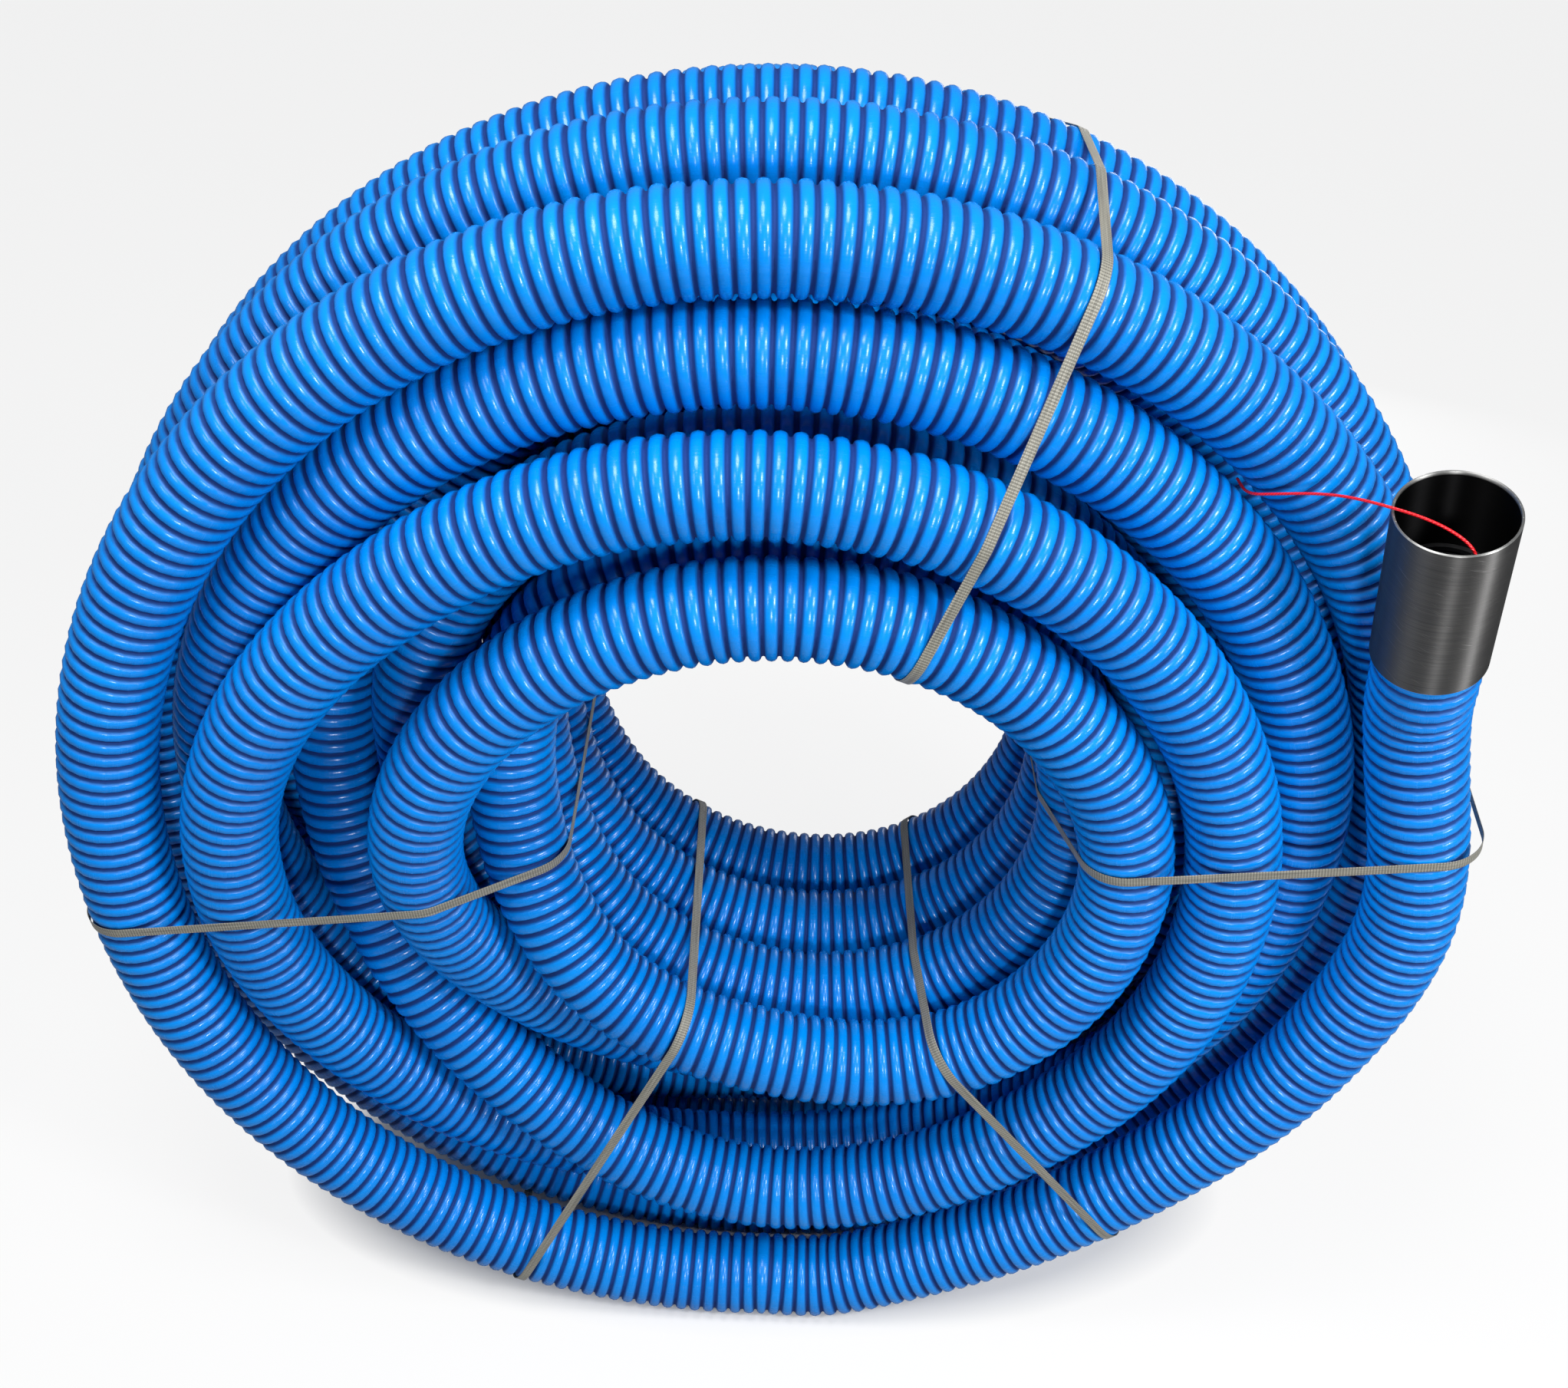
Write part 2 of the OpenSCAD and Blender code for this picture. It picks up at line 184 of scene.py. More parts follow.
def hose_route():
    """Dense points along the whole hose, and the distance of each from the inner end."""
    coil = wound(np.arange(FIRST_U, TURN_COUNT, 1 / TURN_STEPS))
    low = wound(TURN_COUNT)[0]
    knots = [low, low + wound_direction(TURN_COUNT)[0] * STEP_ON]
    knots += list(wound(TURN_COUNT + CLIMB))
    swung, near, nearer = (FOOT - d * END_Z for d in BEFORE_FOOT)
    knots += [swung + SWING, near, nearer, FOOT, FOOT + INSERT * END_Z]
    p = np.concatenate([coil, eased(curve_through(knots, END_STEPS), **END_EASE)])
    return p, arc_points(p)


ROUTE, RUN = hose_route()


def on_route(d):
    """Points of the route at the distances d from the inner end."""
    return np.stack([np.interp(d, RUN, ROUTE[:, i]) for i in range(3)], 1)


# ---- Camera --------------------------------------------------------------------------------
CAMERA_AT = (-0.0177, -1.5890, 2.0914)
CAMERA_ROLL, CAMERA_DOWN, CAMERA_SIDE = -1.02, 36.51, 2.5
SENSOR = 36
FOCAL_SHARE = 2123 / 2044

cam_data = bpy.data.cameras.new("camera")
cam = bpy.data.objects.new("camera", cam_data)
scene.collection.objects.link(cam)
scene.camera = cam
cam_data.sensor_fit = "HORIZONTAL"
cam_data.sensor_width = SENSOR
cam_data.lens = SENSOR * FOCAL_SHARE
cam_data.clip_end = 60
turned = (Matrix.Rotation(math.radians(CAMERA_ROLL), 4, "Z")
          @ Matrix.Rotation(math.radians(90 - CAMERA_DOWN), 4, "X")
          @ Matrix.Rotation(math.radians(CAMERA_SIDE), 4, "Z"))
cam.matrix_world = Matrix.Translation(CAMERA_AT) @ turned


# ---- Materials -----------------------------------------------------------------------------
def rgb(code):
    """Linear colour from an sRGB hex code."""
    c = [int(code[i:i + 2], 16) / 255 for i in (1, 3, 5)]
    return [x / 12.92 if x <= 0.04045 else ((x + 0.055) / 1.055) ** 2.4 for x in c] + [1.0]


def grey(level):
    return (level, level, level, 1)


def add(tree, kind, where=(0, 0), props=None, **inputs):
    """Adds a node, sets its properties and inputs, and links the inputs that are sockets."""
    n = tree.nodes.new(kind)
    n.location = where
    for k, v in (props or {}).items():
        setattr(n, k, v)
    for k, v in inputs.items():
        by_number = k[0] == "i" and k[1:].isdigit()
        s = n.inputs[int(k[1:])] if by_number else n.inputs[k.replace("_", " ")]
        if isinstance(v, bpy.types.NodeSocket):
            tree.links.new(v, s)
        else:
            s.default_value = v
    return n


def empty_material(name):
    """A material with nothing but its output."""
    m = bpy.data.materials.new(name)
    m.use_nodes = True
    t = m.node_tree
    t.nodes.clear()
    return m, t, add(t, "ShaderNodeOutputMaterial", (900, 0))


def material(name):
    m, t, out = empty_material(name)
    p = add(t, "ShaderNodeBsdfPrincipled", (600, 0))
    t.links.new(p.outputs[0], out.inputs[0])
    return m, t, p


def ramp(t, fac, stops, where=(0, 0)):
    """Colour ramp; each stop is a place and a hex code or a level of grey."""
    r = add(t, "ShaderNodeValToRGB", where, Fac=fac)
    e = r.color_ramp.elements
    while len(e) < len(stops):
        e.new(0.5)
    for x, (pos, col) in zip(e, stops):
        x.position = pos
        x.color = rgb(col) if isinstance(col, str) else grey(col)
    return r.outputs[0]


def attribute(t, name, where):
    return add(t, "ShaderNodeAttribute", where, {"attribute_name": name}).outputs["Fac"]


def object_place(t, where):
    return add(t, "ShaderNodeTexCoord", where).outputs["Object"]


def math_node(t, op, a, b=0.0):
    return add(t, "ShaderNodeMath", (0, 0), {"operation": op}, i0=a, i1=b).outputs[0]


def times(t, a, b):
    return math_node(t, "MULTIPLY", a, b)


def noise(t, vector, scale, detail, where):
    n = add(t, "ShaderNodeTexNoise", where, Vector=vector, Scale=scale, Detail=detail)
    return n.outputs["Fac"]


def mixed(t, fac, a, b, where):
    n = add(t, "ShaderNodeMix", where, {"data_type": "RGBA"}, i0=fac, i6=a, i7=b)
    return n.outputs[2]


def combined(t, x, y, z=0.0, where=(0, 0)):
    return add(t, "ShaderNodeCombineXYZ", where, X=x, Y=y, Z=z).outputs[0]


def bumpy(t, p, height, strength, distance):
    """Gives the shader p a bump of the height socket."""
    n = add(t, "ShaderNodeBump", (200, -250), Strength=strength, Distance=distance, Height=height)
    t.links.new(n.outputs[0], p.inputs["Normal"])


def hose_material():
    """Blown polyethylene: deep azure, glossy, with faint lines drawn along the hose, and painted
    shade in its grooves.
    """
    m, t, p = material("polyethylene_blue_blown")
    rib = attribute(t, "rib", (-1200, 300))
    around = attribute(t, "around", (-1200, -200))
    number = attribute(t, "rib_number", (-1200, -400))
    place = object_place(t, (-1200, 600))
    tone = noise(t, place, 6.0, 3.0, (-900, 600))
    base = ramp(t, tone, [(0.3, "#0080E0"), (0.7, "#008EEE")], (-600, 600))
    # Painted shade: the grooves are a darker blue that stands in for the shade in them; they are
    # also duller than the ribs.
    deep = ramp(t, rib, [(0.0, 1.0), (0.35, 0.88), (0.82, 0.0)], (-600, 350))
    t.links.new(mixed(t, deep, base, rgb("#003078"), (-300, 500)), p.inputs["Base Color"])
    # Lines about 4 mm apart round the rib, that differ from rib to rib.
    v = combined(t, times(t, around, 85.0), times(t, number, 3.7), times(t, rib, 0.6), (-900, -200))
    lines = noise(t, v, 1.0, 2.0, (-600, -200))
    # Moulding waviness, a few centimetres long.
    waves = noise(t, place, 38.0, 1.0, (-600, -450))
    bumpy(t, p, math_node(t, "ADD", lines, times(t, waves, 0.8)), 0.3, 0.0008)
    shine = ramp(t, lines, [(0.35, 0.2), (0.7, 0.3)], (-300, -100))
    t.links.new(mixed(t, deep, shine, grey(0.8), (-300, -300)), p.inputs["Roughness"])
    p.inputs["IOR"].default_value = 1.5
    p.inputs["Specular IOR Level"].default_value = 0.42
    return m


def bore_material():
    """Inner wall of the hose: smooth black polyethylene, barely shiny."""
    m, t, p = material("polyethylene_black_smooth")
    n = noise(t, object_place(t, (-1000, 0)), 60.0, 4.0, (-800, 0))
    col = ramp(t, n, [(0.3, "#0A0B0E"), (0.7, "#14161A")], (-400, 100))
    t.links.new(col, p.inputs["Base Color"])
    t.links.new(ramp(t, n, [(0.3, 0.4), (0.7, 0.55)], (-400, -150)), p.inputs["Roughness"])
    return m


def sleeve_material():
    """Extruded graphite-grey tube: polished, with fine turned lines and stray scratches; its inside
    is painted near black as shade, and it is lighter on its cut rims."""
    m, t, p = material("extruded_tube_graphite")
    along = attribute(t, "along", (-1400, 0))
    around = attribute(t, "around", (-1400, -200))
    rim = attribute(t, "rim", (-1400, -400))
    inner = attribute(t, "inner", (-1400, -600))
    v = combined(t, times(t, around, 14.0), times(t, along, 1400.0), 0.0, (-1100, 0))
    lines = noise(t, v, 1.0, 4.0, (-900, 0))
    slanted = math_node(t, "ADD", times(t, along, 900.0), times(t, around, 420.0))
    v = combined(t, slanted, times(t, around, 30.0), 0.0, (-1100, 300))
    scratch = noise(t, v, 1.0, 2.0, (-900, 300))
    scratch = ramp(t, scratch, [(0.66, 0.0), (0.72, 1.0)], (-650, 300))
    plain = ramp(t, lines, [(0.3, "#505050"), (0.75, "#6C6B6A")], (-600, 100))
    body = mixed(t, times(t, scratch, 0.35), plain, rgb("#A8A8A6"), (-300, 200))
    # Painted shade: the inside of the sleeve is near black.
    body = mixed(t, inner, body, rgb("#101011"), (-150, 200))
    t.links.new(mixed(t, rim, body, rgb("#B8B8B6"), (0, 200)), p.inputs["Base Color"])
    rough = ramp(t, lines, [(0.3, 0.42), (0.75, 0.52)], (-400, -100))
    t.links.new(rough, p.inputs["Roughness"])
    bumpy(t, p, math_node(t, "SUBTRACT", lines, scratch), 0.25, 0.0002)
    # The turned lines draw each reflection out along the tube.
    t.links.new(combined(t, *(float(x) for x in END_Z)), p.inputs["Tangent"])
    p.inputs["Anisotropic"].default_value = 0.95
    p.inputs["Metallic"].default_value = 0.9
    return m


def cord_material():
    """Twisted polypropylene: three bright red strands laid round each other."""
    m, t, p = material("polypropylene_red_cord")
    along = attribute(t, "along", (-1200, 0))
    around = attribute(t, "around", (-1200, -200))
    lay = math_node(t, "ADD", times(t, along, 260.0), times(t, around, 3.0))
    wave = math_node(t, "SINE", times(t, lay, FULL_TURN))
    # Painted shade: the red is darker where the strands meet, on the same wave as their bump.
    tone = math_node(t, "MULTIPLY_ADD", wave, 0.5)
    col = ramp(t, tone, [(0.1, "#D8101A"), (0.6, "#FF2430")], (-300, 0))
    t.links.new(col, p.inputs["Base Color"])
    bumpy(t, p, wave, 0.5, 0.0003)
    p.inputs["Roughness"].default_value = 0.3
    return m


WEFT, WARP = 0.0032, 0.0024


def strap_material():
    """Woven polyester strapping, warm grey; the weave is drawn coarser than real, so that it
    shows at a distance."""
    m, t, p = material("polyester_strapping_grey")
    along = attribute(t, "along", (-1200, 0))
    across = attribute(t, "across", (-1200, -200))
    weft = math_node(t, "SINE", times(t, along, FULL_TURN / WEFT))
    warp = math_node(t, "SINE", times(t, across, FULL_TURN / WARP))
    both = math_node(t, "ADD", times(t, weft, 0.7), times(t, times(t, weft, warp), 0.4))
    v = combined(t, times(t, along, 12.0), times(t, across, 900.0), 0.0, (-900, 300))
    fibre = noise(t, v, 1.0, 3.0, (-700, 300))
    tone = math_node(t, "ADD", fibre, times(t, both, 0.2))
    col = ramp(t, tone, [(0.25, "#5E5C54"), (0.5, "#7E7C72"), (0.8, "#A5A296")], (-300, 200))
    t.links.new(col, p.inputs["Base Color"])
    bumpy(t, p, both, 0.6, 0.0003)
    p.inputs["Roughness"].default_value = 0.42
    p.inputs["Sheen Weight"].default_value = 0.15
    return m


def plain_material(name, dark, light, rough, metallic=0.0):
    """One colour with a fine grain in its tone, its shine and its surface."""
    m, t, p = material(name)
    n = noise(t, object_place(t, (-1000, 0)), 120.0, 4.0, (-800, 0))
    t.links.new(ramp(t, n, [(0.3, dark), (0.7, light)], (-400, 100)), p.inputs["Base Color"])
    shine = ramp(t, n, [(0.3, rough), (0.7, rough + 0.12)], (-400, -150))
    t.links.new(shine, p.inputs["Roughness"])
    bumpy(t, p, n, 0.2, 0.0002)
    p.inputs["Metallic"].default_value = metallic
    return m


HOSE = hose_material()
BORE = bore_material()
SLEEVE = sleeve_material()
CORD = cord_material()
STRAP = strap_material()
STEEL = plain_material("zinc_plated_steel", "#8C8D8F", "#B4B5B6", 0.3, 1.0)
RUBBER = plain_material("rubber_black", "#141414", "#1E1E1E", 0.6)
STOP = plain_material("nylon_black", "#18181A", "#222224", 0.5)


# ---- Geometry Nodes: a ribbed hose along a curve --------------------------------------------
RINGS = 8
SIDES = 24
# Place of each ring in the pitch, and the rib's height there, from one groove to the next.
RING_PLACE = [0.0, 0.095, 0.16, 0.27, 0.5, 0.73, 0.84, 0.905]
RIB_HEIGHT = [0.0, 0.1, 0.53, 0.83, 1.0, 0.83, 0.53, 0.1]


def float_curve(t, value, samples, where):
    """A curve that gives samples[i] at i / len(samples)."""
    n = add(t, "ShaderNodeFloatCurve", where, Value=value)
    c = n.mapping.curves[0]
    for i, v in enumerate(samples):
        x = i / len(samples)
        point = c.points[0] if i == 0 else c.points.new(x, v)
        point.location = (x, v)
    last = c.points[len(c.points) - 1]
    last.location = (1.0, samples[-1])
    for point in c.points:
        point.handle_type = "VECTOR"
    n.mapping.update()
    return n.outputs[0]


def stored(t, geometry, name, value, where):
    """The geometry with the value kept on its points under a name."""
    n = add(t, "GeometryNodeStoreNamedAttribute", where, {"data_type": "FLOAT", "domain": "POINT"},
            Geometry=geometry, Name=name, Value=value)
    return n.outputs[0]


def hose_tree():
    """Node group that makes a ribbed hose along a route, a whole number of ribs long."""
    t = bpy.data.node_groups.new("ribbed_hose", "GeometryNodeTree")
    for name, kind in (("Route", "NodeSocketGeometry"), ("Ribs", "NodeSocketInt"),
                       ("First rib", "NodeSocketInt"), ("Groove radius", "NodeSocketFloat"),
                       ("Rib depth", "NodeSocketFloat"), ("Sides", "NodeSocketInt"),
                       ("Material", "NodeSocketMaterial")):
        t.interface.new_socket(name, in_out="INPUT", socket_type=kind)
    t.interface.new_socket("Hose", in_out="OUTPUT", socket_type="NodeSocketGeometry")
    g = add(t, "NodeGroupInput", (-1400, 0)).outputs
    steps = times(t, g["Ribs"], float(RINGS))
    last = add(t, "GeometryNodeResampleCurve", (-900, 200), {"mode": "COUNT"}, Curve=g["Route"],
               Count=math_node(t, "ADD", steps, 1.0)).outputs[0]
    # Each ring's place in its rib, moved from even steps to RING_PLACE.
    index = add(t, "GeometryNodeInputIndex", (-1200, -300)).outputs[0]
    place = math_node(t, "MODULO", index, float(RINGS))
    place = math_node(t, "DIVIDE", place, float(RINGS))
    rib = math_node(t, "FLOOR", math_node(t, "DIVIDE", index, float(RINGS)))
    at = math_node(t, "ADD", rib, float_curve(t, place, RING_PLACE, (-900, -300)))
    height = float_curve(t, place, RIB_HEIGHT, (-900, -600))
    pos = add(t, "GeometryNodeSampleCurve", (-600, -100), {"mode": "FACTOR"}, Curves=g["Route"],
              Factor=math_node(t, "DIVIDE", at, g["Ribs"])).outputs["Position"]
    last = stored(t, last, "rib", height, (-500, 200))
    number = math_node(t, "ADD", rib, g["First rib"])
    last = stored(t, last, "rib_number", number, (-300, 200))
    last = add(t, "GeometryNodeSetPosition", (-100, 200), Geometry=last, Position=pos).outputs[0]
    radius = math_node(t, "ADD", g["Groove radius"], times(t, height, g["Rib depth"]))
    last = add(t, "GeometryNodeSetCurveRadius", (100, 200), Curve=last, Radius=radius).outputs[0]
    # The hose's section, with the place round it as a share of the turn.
    ring = add(t, "GeometryNodeCurvePrimitiveCircle", (-300, -200), Resolution=g["Sides"],
               Radius=1.0).outputs[0]
    part = add(t, "GeometryNodeSplineParameter", (-300, -500)).outputs["Factor"]
    ring = stored(t, ring, "around", part, (-100, -200))
    mesh = add(t, "GeometryNodeCurveToMesh", (300, 100), Curve=last, Profile_Curve=ring)
    if "Scale" in mesh.inputs:
        size = add(t, "GeometryNodeInputRadius", (100, -100)).outputs[0]
        t.links.new(size, mesh.inputs["Scale"])
    last = add(t, "GeometryNodeRealizeInstances", (500, 100), Geometry=mesh.outputs[0]).outputs[0]
    last = add(t, "GeometryNodeSetMaterial", (700, 100), Geometry=last,
               Material=g["Material"]).outputs[0]
    out = add(t, "NodeGroupOutput", (900, 100))
    t.links.new(last, out.inputs[0])
    return t


def linked(name, data):
    """A new object of the scene, with the data given."""
    o = bpy.data.objects.new(name, data)
    scene.collection.objects.link(o)
    return o


def plain_mesh(obj):
    """Turns an object with a Geometry Nodes modifier into a plain mesh object."""
    deps = bpy.context.evaluated_depsgraph_get()
    mesh = bpy.data.meshes.new_from_object(obj.evaluated_get(deps))
    name, data = obj.name, obj.data
    bpy.data.objects.remove(obj)
    bpy.data.curves.remove(data)
    mesh.name = name
    return linked(name, mesh)


PATH_STEPS = 4


def ribbed_hose(name, first, ribs, tree):
    """A stretch of the hose from one groove to another as a mesh, and its centre line."""
    p = on_route((first + np.linspace(0, ribs, ribs * PATH_STEPS + 1)) * PITCH_TRUE)
    c = bpy.data.curves.new(name, "CURVE")
    c.dimensions = "3D"
    s = c.splines.new("POLY")
    s.points.add(len(p) - 1)
    s.points.foreach_set("co", np.c_[p, np.ones(len(p))].ravel())
    o = linked(name, c)
    mod = o.modifiers.new("ribs", "NODES")
    mod.node_group = tree
    values = {"Ribs": ribs, "First rib": first, "Groove radius": HOSE_R - GROOVE,
              "Rib depth": GROOVE, "Sides": SIDES, "Material": HOSE}
    for item in tree.interface.items_tree:
        if item.in_out == "INPUT" and item.name in values:
            mod[item.identifier] = values[item.name]
    o = plain_mesh(o)
    m = o.data
    # The ribs that touch the floor are pressed flat on it.
    co = np.empty(len(m.vertices) * 3)
    m.vertices.foreach_get("co", co)
    co = co.reshape(-1, 3)
    co[:, 2] = np.maximum(co[:, 2], 0.0)
    m.vertices.foreach_set("co", co.ravel())
    m.polygons.foreach_set("use_smooth", [True] * len(m.polygons))
    m.update()
    return o, p


# The hose has a whole number of ribs, counted from its inner end.
TOTAL_RIBS = int(round(RUN[-1] / PITCH))
PITCH_TRUE = RUN[-1] / TOTAL_RIBS
COIL_END = RUN[int((TURN_COUNT - FIRST_U) * TURN_STEPS)]
TAIL_RIBS = 18
END_FIRST = int(round(COIL_END / PITCH_TRUE))
STRETCHES = 6
CUTS = [int(round(TAIL_RIBS + (END_FIRST - TAIL_RIBS) * i / STRETCHES))
        for i in range(STRETCHES + 1)]

tree = hose_tree()
hoses = [(*ribbed_hose("hose_tail_ribbed", 0, TAIL_RIBS, tree), "hose_tail")]
for i in range(STRETCHES):
    stretch = ribbed_hose("hose_stretch_%d" % (i + 1), CUTS[i], CUTS[i + 1] - CUTS[i], tree)
    hoses.append((*stretch, "hose_coil"))
hoses.append((*ribbed_hose("hose_end_ribbed", END_FIRST, TOTAL_RIBS - END_FIRST, tree),
              "hose_end"))
for o, path, node in hoses:
    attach(o, "coil")
    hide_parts(node)
    # The inner end is shorter than six diameters, too short to be a cord of its own.
    if node == "hose_tail":
        continue


# ---- Mesh helpers --------------------------------------------------------------------------
def mesh_object(name, verts, faces, mat, attributes=None):
    """A smooth mesh object, with the attributes given kept on its points."""
    m = bpy.data.meshes.new(name)
    m.from_pydata([tuple(v) for v in verts], [], [tuple(f) for f in faces])
    m.materials.append(mat)
    for key, values in (attributes or {}).items():
        a = m.attributes.new(key, "FLOAT", "POINT")
        a.data.foreach_set("value", np.asarray(values, np.float32))
    m.polygons.foreach_set("use_smooth", [True] * len(m.polygons))
    m.update()
    return linked(name, m)


def grid_faces(m, n, wrap_m, wrap_n, base=0):
    """Faces of a grid of m rows of n points, closed in either direction or open."""
    f = []
    for i in range(m if wrap_m else m - 1):
        for k in range(n if wrap_n else n - 1):
            a, b = base + i * n + k, base + i * n + (k + 1) % n
            c, d = base + (i + 1) % m * n + (k + 1) % n, base + (i + 1) % m * n + k
            f.append((a, b, c, d))
    return f


def first_cap(n, base=0):
    """Face over the first of a row of sections of n points."""
    return tuple(range(base + n - 1, base - 1, -1))


def last_cap(m, n, base=0):
    """Face over the last of m sections of n points."""
    return tuple(range(base + (m - 1) * n, base + m * n))


def turn_angles(sides):
    """Even angles of one turn."""
    return np.linspace(0, FULL_TURN, sides, endpoint=False)


def rings(p, x, y, r, sides):
    """Points of rings round the points p, of the radii r, square to the directions x and y."""
    a = turn_angles(sides)[None, :, None]
    v = p[:, None] + r[:, None, None] * (x[:, None] * np.cos(a) + y[:, None] * np.sin(a))
    return v.reshape(-1, 3)


def frames(p):
    """Two directions square to the line p at each point, that twist as little as they can."""
    t = unit(np.gradient(p, axis=0))
    x = np.cross(t[0], [0.6, 0.5, 0.62])
    out = []
    for d in t:
        x = x - d * (x @ d)
        x = x / np.linalg.norm(x)
        out.append((x, np.cross(d, x)))
    return np.array([a for a, b in out]), np.array([b for a, b in out])


def tube(name, p, r, sides, mat):
    """A closed tube of radius r along the points p."""
    x, y = frames(p)
    faces = grid_faces(len(p), sides, False, True) + [first_cap(sides), last_cap(len(p), sides)]
    return mesh_object(name, rings(p, x, y, np.full(len(p), r), sides), faces, mat,
                       {"along": np.repeat(arc_points(p), sides),
                        "around": np.tile(turn_angles(sides) / FULL_TURN, len(p))})


def recalculated(o):
    """Turns the faces of a closed piece outwards."""
    b = bmesh.new()
    b.from_mesh(o.data)
    bmesh.ops.recalc_face_normals(b, faces=b.faces)
    b.to_mesh(o.data)
    b.free()
    o.data.update()


# ---- Draw cord -----------------------------------------------------------------------------
CORD_R = 0.0015
CORD_SIDES = 12
CORD_STEPS = 14
CORD_EASE = {"window": 11, "first": 12, "last": 24}
CORD_ROUNDS = 3
# Knots of the cord: in mm in the sleeve's frame, then in metres from the coil's axis.
CORD_IN_SLEEVE = [(6, -46, 104), (8, -47, 140), (9, -48, 170), (7, -45, 186), (-2, -37, 196),
                  (-16, -22, 201), (-38, -1, 203), (-58, 11, 201.5)]
CORD_ON_COIL = [(0.537, -0.027, 0.548), (0.519, 0.004, 0.535), (0.499, 0.027, 0.521),
                (0.481, 0.046, 0.509), (0.468, 0.062, 0.499), (0.462, 0.084, 0.491),
                (0.460, 0.112, 0.489)]
knots = [in_sleeve(p) for p in CORD_IN_SLEEVE]
knots += [np.array(p) + MIDDLE + [0, 0, AXIS_Z] for p in CORD_ON_COIL]
cord_path = curve_through(knots, CORD_STEPS)
for i in range(CORD_ROUNDS):
    cord_path = eased(cord_path, **CORD_EASE)
draw_cord = tube("draw_cord_red", cord_path, CORD_R, CORD_SIDES, CORD)
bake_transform(draw_cord)
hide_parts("draw_cord")


# ---- Straps --------------------------------------------------------------------------------
STRAP_ANGLES = {"upper": 21, "right": 81, "lower_right": 141, "lower_left": 205, "left": 263}
STRAP_W, STRAP_T, STRAP_GAP = 0.012, 0.0008, 0.0004
# Section of the strap in mm, across and through, with more points on its outer side.
STRAP_SECTION = [(-6, -0.25), (-5.8, -0.4), (5.8, -0.4), (6, -0.25), (6, 0.25), (5.8, 0.4),
                 (4, 0.4), (2, 0.4), (0, 0.4), (-2, 0.4), (-4, 0.4), (-5.8, 0.4), (-6, 0.25)]
STRAP_STEP = 0.003
# Where the free end crosses the strap on the right, as radius and depth.
FREE_END_CROSS = [0.735, -0.006]
# The strap's loose end: how far it goes past the seal's middle, how thin it is drawn, how high
# it lies at the seal and how it rises after that.
LOOSE_LEN = 0.034
LOOSE_STATIONS = 12
LOOSE_THIN = 0.8
LOOSE_LIFT = 0.95 * MM
LOOSE_RISE = 0.06
SEAL_LEN = 0.026
SEAL_WALL = 0.0012
SEAL_PLAY = 0.0002
SEAL_SIDES = 32
SEAL_STATIONS = 53
# Power that turns the seal's oval section into a box with round corners.
SEAL_ROUND = 0.3
CRIMPS = (-0.006, 0.006)
CRIMP_REACH = 0.0022
CRIMP_SIDE, CRIMP_TOP = 0.0009, 0.0002


def strap_axes(angle):
    """Directions out from the coil's axis and across the strap."""
    a = math.radians(angle)
    return np.array([math.sin(a), 0, math.cos(a)]), np.array([-math.cos(a), 0, math.sin(a)])


def strands(angle):
    """Centre, lean and share across of each strand in the plane of a strap."""
    out, across = strap_axes(angle)
    f = (180 - angle) % 360 / 360
    u = np.array([k + f for k in range(TURN_COUNT + 1) if FIRST_U <= k + f <= LAST_U])
    p = wound(u) - MIDDLE - [0, 0, AXIS_Z]
    t = wound_direction(u)
    c, m, s = np.c_[p @ out, p[:, 1]], np.c_[t @ out, t[:, 1]], t @ across
    if angle == STRAP_ANGLES["right"]:
        c, m, s = np.vstack([c, FREE_END_CROSS]), np.vstack([m, [0, 0]]), np.append(s, 1.0)
    return c, m, s


def taut(angle, more, steps=1440):
    """Points of the taut line round all strands, a height more over their ribs. In each
    direction it is the farthest point of the ovals that the plane cuts from the strands."""
    c, m, s = (x[None] for x in strands(angle))
    w = turn_angles(steps)
    n = np.c_[np.cos(w), np.sin(w)][:, None]
    e = (m * n).sum(2)
    oval = (n + m * (e / s ** 2)[..., None]) / np.sqrt(1 + e ** 2 / s ** 2)[..., None]
    half_width = m * (np.sign(e) * STRAP_W / 2 / s)[..., None]
    reach = c + HOSE_R * oval + half_width + n * more
    best = (reach * n).sum(2).argmax(1)
    return reach[np.arange(steps), best]


def even(p, step):
    """The same closed line with points about a step apart, and their distances from the first."""
    q = np.concatenate([p, p[:1]])
    run = arc_points(q)
    d = np.linspace(0, run[-1], int(run[-1] / step), endpoint=False)
    return np.stack([np.interp(d, run, q[:, i]) for i in range(q.shape[1])], 1), d


def back_stretch(line):
    """Middle of the longest straight stretch of a taut line on the back of the coil, and the
    directions along it and outwards."""
    d = line - np.roll(line, -1, 0)
    size = np.linalg.norm(d, axis=1)
    size[d[:, 0] <= size / 2] = 0
    i = size.argmax()
    a, b = line[i], line[(i + 1) % len(line)]
    along = unit(b - a)
    return (a + b) / 2, along, np.array([along[1], -along[0]])


def in_plane(axes, r, y, w):
    """Point at radius r and depth y in the plane of a strap, w across it."""
    out, across = axes
    return out * r + np.array([0, y, 0]) + across * w + MIDDLE + [0, 0, AXIS_Z]


